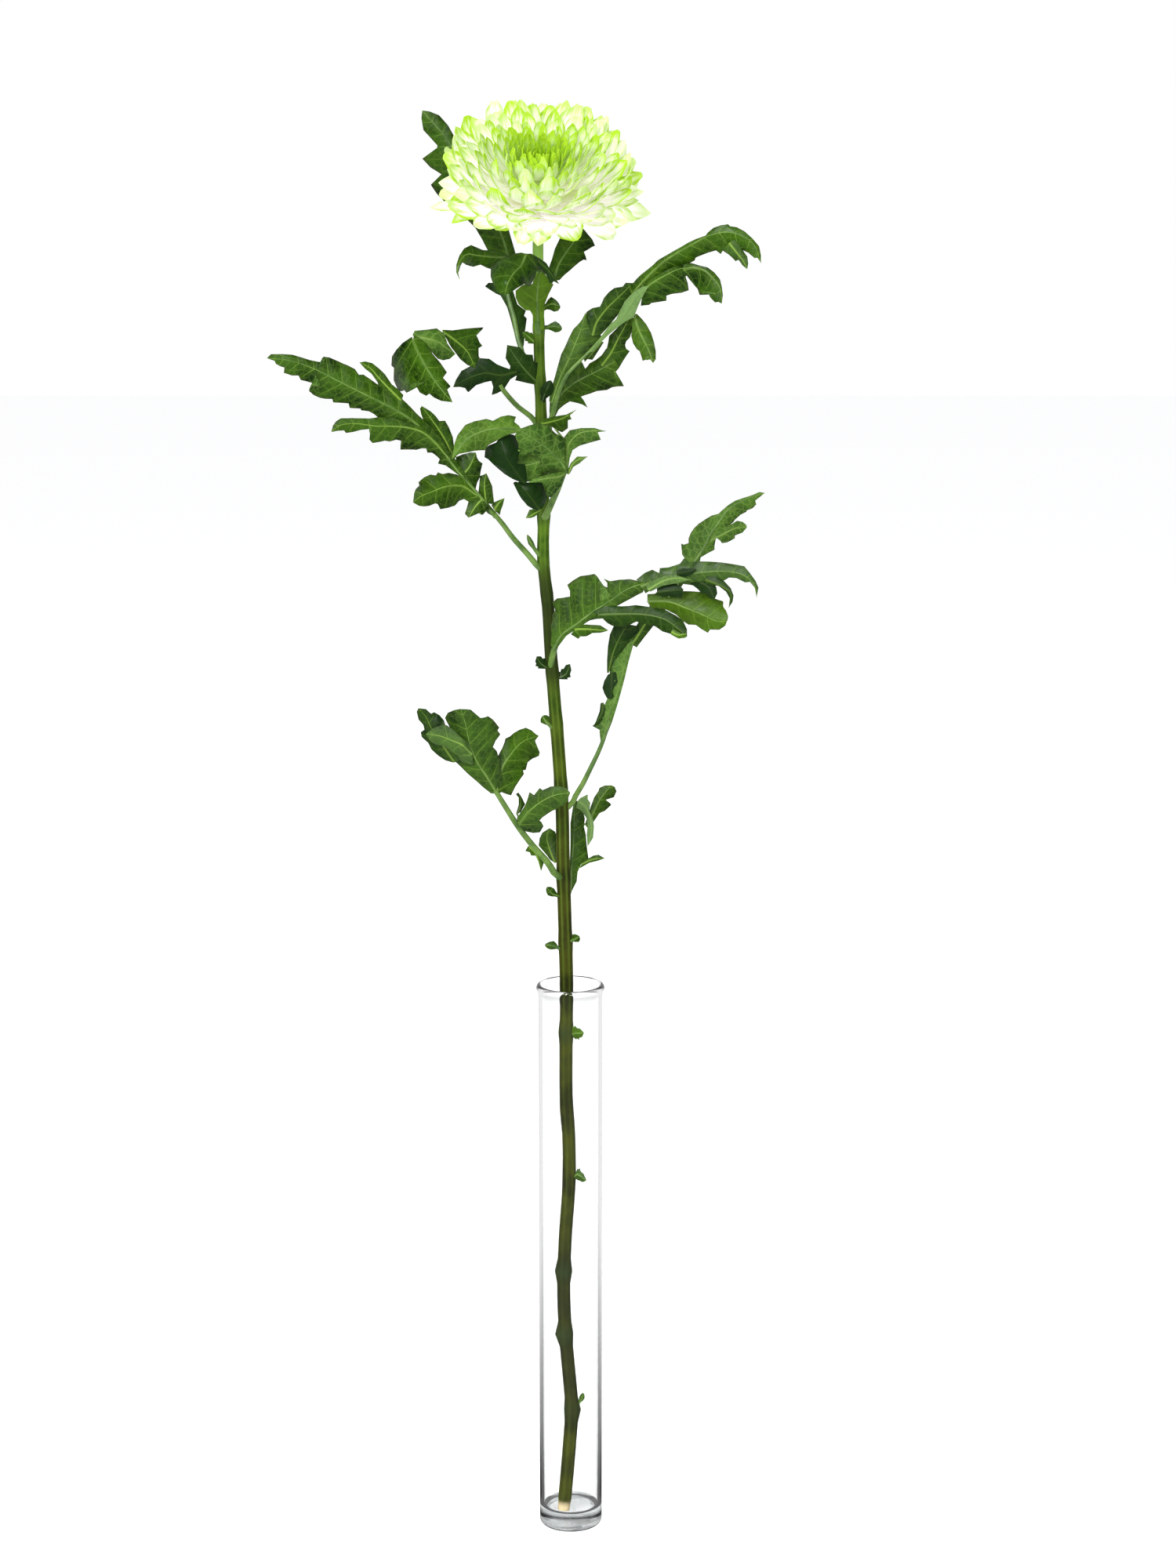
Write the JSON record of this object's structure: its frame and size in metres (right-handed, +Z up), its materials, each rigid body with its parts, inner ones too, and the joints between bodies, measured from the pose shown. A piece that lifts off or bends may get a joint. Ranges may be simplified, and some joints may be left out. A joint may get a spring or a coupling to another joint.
{
  "type": "single cut chrysanthemum in glass vase",
  "caption": "Long-stemmed cut chrysanthemum with a lime-tipped white double head and lobed leaves, standing in a tall narrow clear glass cylinder vase.",
  "frame": {"origin": "middle of the vase's foot, on the surface it stands on", "axes": "+Z up, -Y towards the viewer of the picture, +X to the right"},
  "size_m": [0.264, 0.1188, 0.7939],
  "materials": {
    "clear_glass": "clear and polished",
    "stem_green": "satin, ribbed",
    "leaf_green": "semi-gloss upper side",
    "leaf_underside": "matt underside",
    "petal_white": "matt, lime tips",
    "petal_lime": "matt",
    "tuft_green": "matt"
  },
  "bodies": {
    "root": {"vase": "clear_glass", "stem": "stem_green", "receptacle": "stem_green", "leaf_left_long": "leaf_green", "leaf_left_curled": "leaf_green", "leaf_front_centre": "leaf_underside", "leaf_right_long": "leaf_green", "leaf_right_yellowish": "leaf_green", "leaf_under_flower_back": "leaf_green", "leaf_under_flower_domed": "leaf_green", "leaf_behind_flower": "leaf_green", "leaf_right_arching": "leaf_green", "leaf_right_longest": "leaf_underside", "leaf_left_low": "leaf_underside", "leaf_low_back": "leaf_green", "leaflet_neck_right": "leaf_green", "leaflet_neck_upper": "leaf_green", "leaflet_neck_left": "leaf_green", "leaflet_toothed_left": "leaf_green", "stipule_dark_right": "leaf_green", "stub_petiole_left": "leaf_green", "stipule_middle_left": "leaf_green", "stipule_middle_right": "leaf_green", "bud_left": "leaf_green", "stipule_low_left": "leaf_green", "stub_above_rim_left": "leaf_green", "stub_above_rim_right": "leaf_green", "scrap_in_vase_upper": "leaf_green", "scrap_in_vase_middle": "leaf_green", "scrap_in_vase_low": "leaf_green", "tuft": "tuft_green", "ray_whorl_1": "petal_white", "ray_whorl_2": "petal_white", "ray_whorl_3": "petal_white", "ray_whorl_4": "petal_white", "ray_whorl_5": "petal_lime", "ray_whorl_6": "petal_lime", "ray_whorl_7": "petal_lime", "rim_floret_01": "petal_white", "rim_floret_02": "petal_white", "rim_floret_03": "petal_white", "rim_floret_04": "petal_white", "rim_floret_05": "petal_white", "rim_floret_06": "petal_white", "rim_floret_07": "petal_white", "rim_floret_08": "petal_white", "rim_floret_09": "petal_white", "rim_floret_10": "petal_white", "rim_floret_11": "petal_white", "rim_floret_12": "petal_white", "rim_floret_13": "petal_white", "rim_floret_14": "petal_white"}
  },
  "joints": []
}
